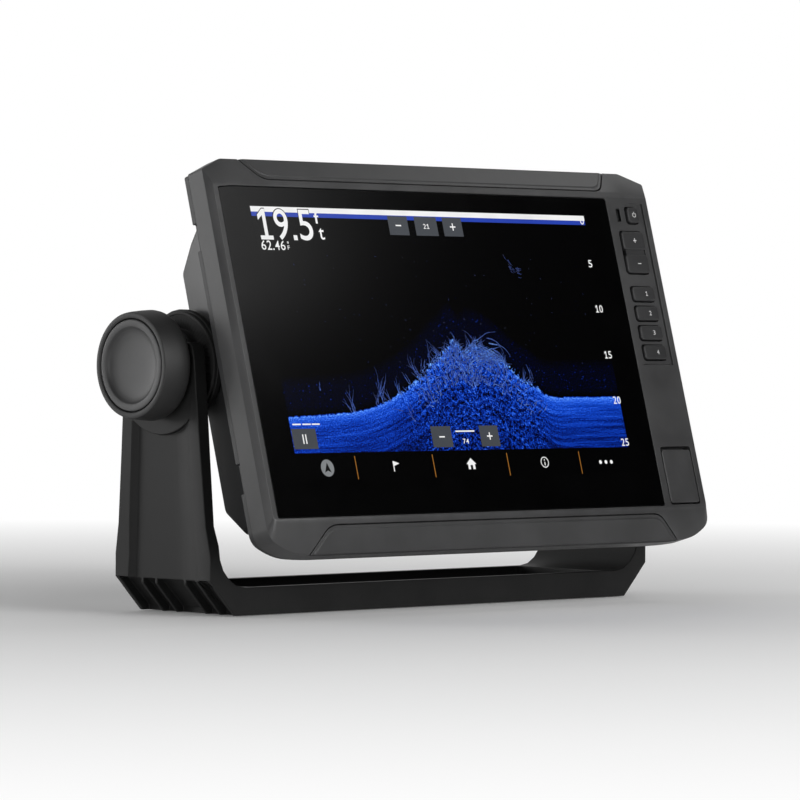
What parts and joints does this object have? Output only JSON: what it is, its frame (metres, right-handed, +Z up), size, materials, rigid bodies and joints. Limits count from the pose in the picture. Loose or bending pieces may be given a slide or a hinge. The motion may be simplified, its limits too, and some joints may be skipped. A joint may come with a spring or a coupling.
{
  "type": "fish finder",
  "caption": "Wide marine sonar display with side keys and a card door, in a quick-release cradle held by two side knobs on a U-shaped tilting bracket.",
  "frame": {"origin": "middle of the flat underside of the bracket's base", "axes": "+X to the user's right along the tilt axis, -Y towards the user, +Z up; the display leans back 15.5 degrees at rest"},
  "size_m": [0.2946, 0.1004, 0.1875],
  "materials": {
    "charcoal_moulding": "fine-grained charcoal moulded plastic of the bezel, trims, door, lever and knob caps",
    "bracket_moulding": "satin black glass-filled nylon of the bracket, cradle and rear housing",
    "black_rubber": "matte black rubber and soft moulded plastic",
    "screen_glass": "black bonded front glass with the lit screen behind it",
    "stainless_steel": "stainless steel",
    "brass": "machined brass",
    "circuit_board": "green circuit board with black chips",
    "tinned_steel": "tinned sheet steel",
    "ceramic": "fired ceramic patch"
  },
  "bodies": {
    "bracket": {"bail_bracket": "bracket_moulding"},
    "cradle": {"cradle": "bracket_moulding", "friction_disc_left": "black_rubber", "friction_disc_right": "black_rubber", "threaded_insert_left": "brass", "threaded_insert_right": "brass", "lever_pin": "stainless_steel", "lever_spring": "stainless_steel", "cradle_connector": "black_rubber", "power_socket": "black_rubber", "transducer_socket": "black_rubber", "network_socket_1": "black_rubber", "network_socket_2": "black_rubber", "socket_cap_1": "black_rubber", "socket_cap_2": "black_rubber", "socket_cap_3": "black_rubber", "socket_cap_4": "black_rubber"},
    "clamp_left": {"knob_washer_left": "black_rubber"},
    "knob_left": {"knob_left": "black_rubber", "knob_cap_left": "charcoal_moulding", "knob_stud_left": "stainless_steel"},
    "clamp_right": {"knob_washer_right": "black_rubber"},
    "knob_right": {"knob_right": "black_rubber", "knob_cap_right": "charcoal_moulding", "knob_stud_right": "stainless_steel"},
    "release_lever": {"release_lever": "charcoal_moulding"},
    "power_key": {"power_key": "black_rubber"},
    "zoom_rocker": {"zoom_rocker": "black_rubber"},
    "key_1": {"key_1": "black_rubber"},
    "key_2": {"key_2": "black_rubber"},
    "key_3": {"key_3": "black_rubber"},
    "key_4": {"key_4": "black_rubber"},
    "card_door": {"card_door": "charcoal_moulding"},
    "display_unit": {"beeper": "black_rubber", "bottom_trim": "charcoal_moulding", "card_door_pin": "stainless_steel", "card_door_seal": "black_rubber", "card_reader": "stainless_steel", "display_glass": "screen_glass", "front_bezel": "charcoal_moulding", "gps_antenna": "ceramic", "housing_screw_1": "stainless_steel", "housing_screw_2": "stainless_steel", "housing_screw_3": "stainless_steel", "housing_screw_4": "stainless_steel", "housing_screw_5": "stainless_steel", "housing_screw_6": "stainless_steel", "housing_seal": "black_rubber", "key_mat": "black_rubber", "keypad_board": "circuit_board", "lcd_panel": "screen_glass", "light_sensor_window": "screen_glass", "main_board": "circuit_board", "panel_frame": "tinned_steel", "rear_housing": "bracket_moulding", "sonar_board": "circuit_board", "sonar_shield": "tinned_steel", "top_trim": "charcoal_moulding", "unit_connector": "black_rubber"}
  },
  "joints": [
    {"name": "tilt", "type": "hinge", "parent": "bracket", "child": "cradle", "pos_m": [0, 0, 0.1025], "axis": [-1, 0, 0], "range_deg": [-16, 55]},
    {"name": "unit_tip", "type": "hinge", "parent": "cradle", "child": "display_unit", "pos_m": [0, -0.03134, 0.03247], "axis": [1, 0, 0], "range_deg": [0, 3]},
    {"name": "release_lever", "type": "hinge", "parent": "cradle", "child": "release_lever", "pos_m": [0.024, 0.01978, 0.15133], "axis": [-1, 0, 0], "range_deg": [0, 30], "stiffness_Nm_per_rad": 0.15, "springref_deg": -17.19},
    {"name": "knob_left_travel", "type": "slide", "parent": "cradle", "child": "clamp_left", "axis": [-1, 0, 0], "range_m": [0, 0.00375]},
    {"name": "knob_left_turn", "type": "hinge", "parent": "clamp_left", "child": "knob_left", "pos_m": [0, 0, 0.1025], "axis": [-1, 0, 0], "range_deg": [0, 1080]},
    {"name": "knob_right_travel", "type": "slide", "parent": "cradle", "child": "clamp_right", "axis": [1, 0, 0], "range_m": [0, 0.00375]},
    {"name": "knob_right_turn", "type": "hinge", "parent": "clamp_right", "child": "knob_right", "pos_m": [0, 0, 0.1025], "axis": [1, 0, 0], "range_deg": [0, 1080]},
    {"name": "power_key_press", "type": "slide", "parent": "display_unit", "child": "power_key", "axis": [0, 0.9636, -0.2672], "range_m": [0, 0.0008], "stiffness_N_per_m": 1500},
    {"name": "key_1_press", "type": "slide", "parent": "display_unit", "child": "key_1", "axis": [0, 0.9636, -0.2672], "range_m": [0, 0.0008], "stiffness_N_per_m": 1500},
    {"name": "key_2_press", "type": "slide", "parent": "display_unit", "child": "key_2", "axis": [0, 0.9636, -0.2672], "range_m": [0, 0.0008], "stiffness_N_per_m": 1500},
    {"name": "key_3_press", "type": "slide", "parent": "display_unit", "child": "key_3", "axis": [0, 0.9636, -0.2672], "range_m": [0, 0.0008], "stiffness_N_per_m": 1500},
    {"name": "key_4_press", "type": "slide", "parent": "display_unit", "child": "key_4", "axis": [0, 0.9636, -0.2672], "range_m": [0, 0.0008], "stiffness_N_per_m": 1500},
    {"name": "zoom_rock", "type": "hinge", "parent": "display_unit", "child": "zoom_rocker", "pos_m": [0.11475, -0.03387, 0.15168], "axis": [1, 0, 0], "range_deg": [-3, 3], "stiffness_Nm_per_rad": 0.5},
    {"name": "card_door_hinge", "type": "hinge", "parent": "display_unit", "child": "card_door", "pos_m": [0.1159, -0.06446, 0.04362], "axis": [1, 0, 0], "range_deg": [0, 95]}
  ],
  "couplings": [
    {"joint": "release_lever", "follows": "unit_tip", "ratio": 10},
    {"joint": "knob_left_turn", "follows": "knob_left_travel", "rad_per_m": 5026.5},
    {"joint": "knob_right_turn", "follows": "knob_right_travel", "rad_per_m": 5026.5}
  ]
}
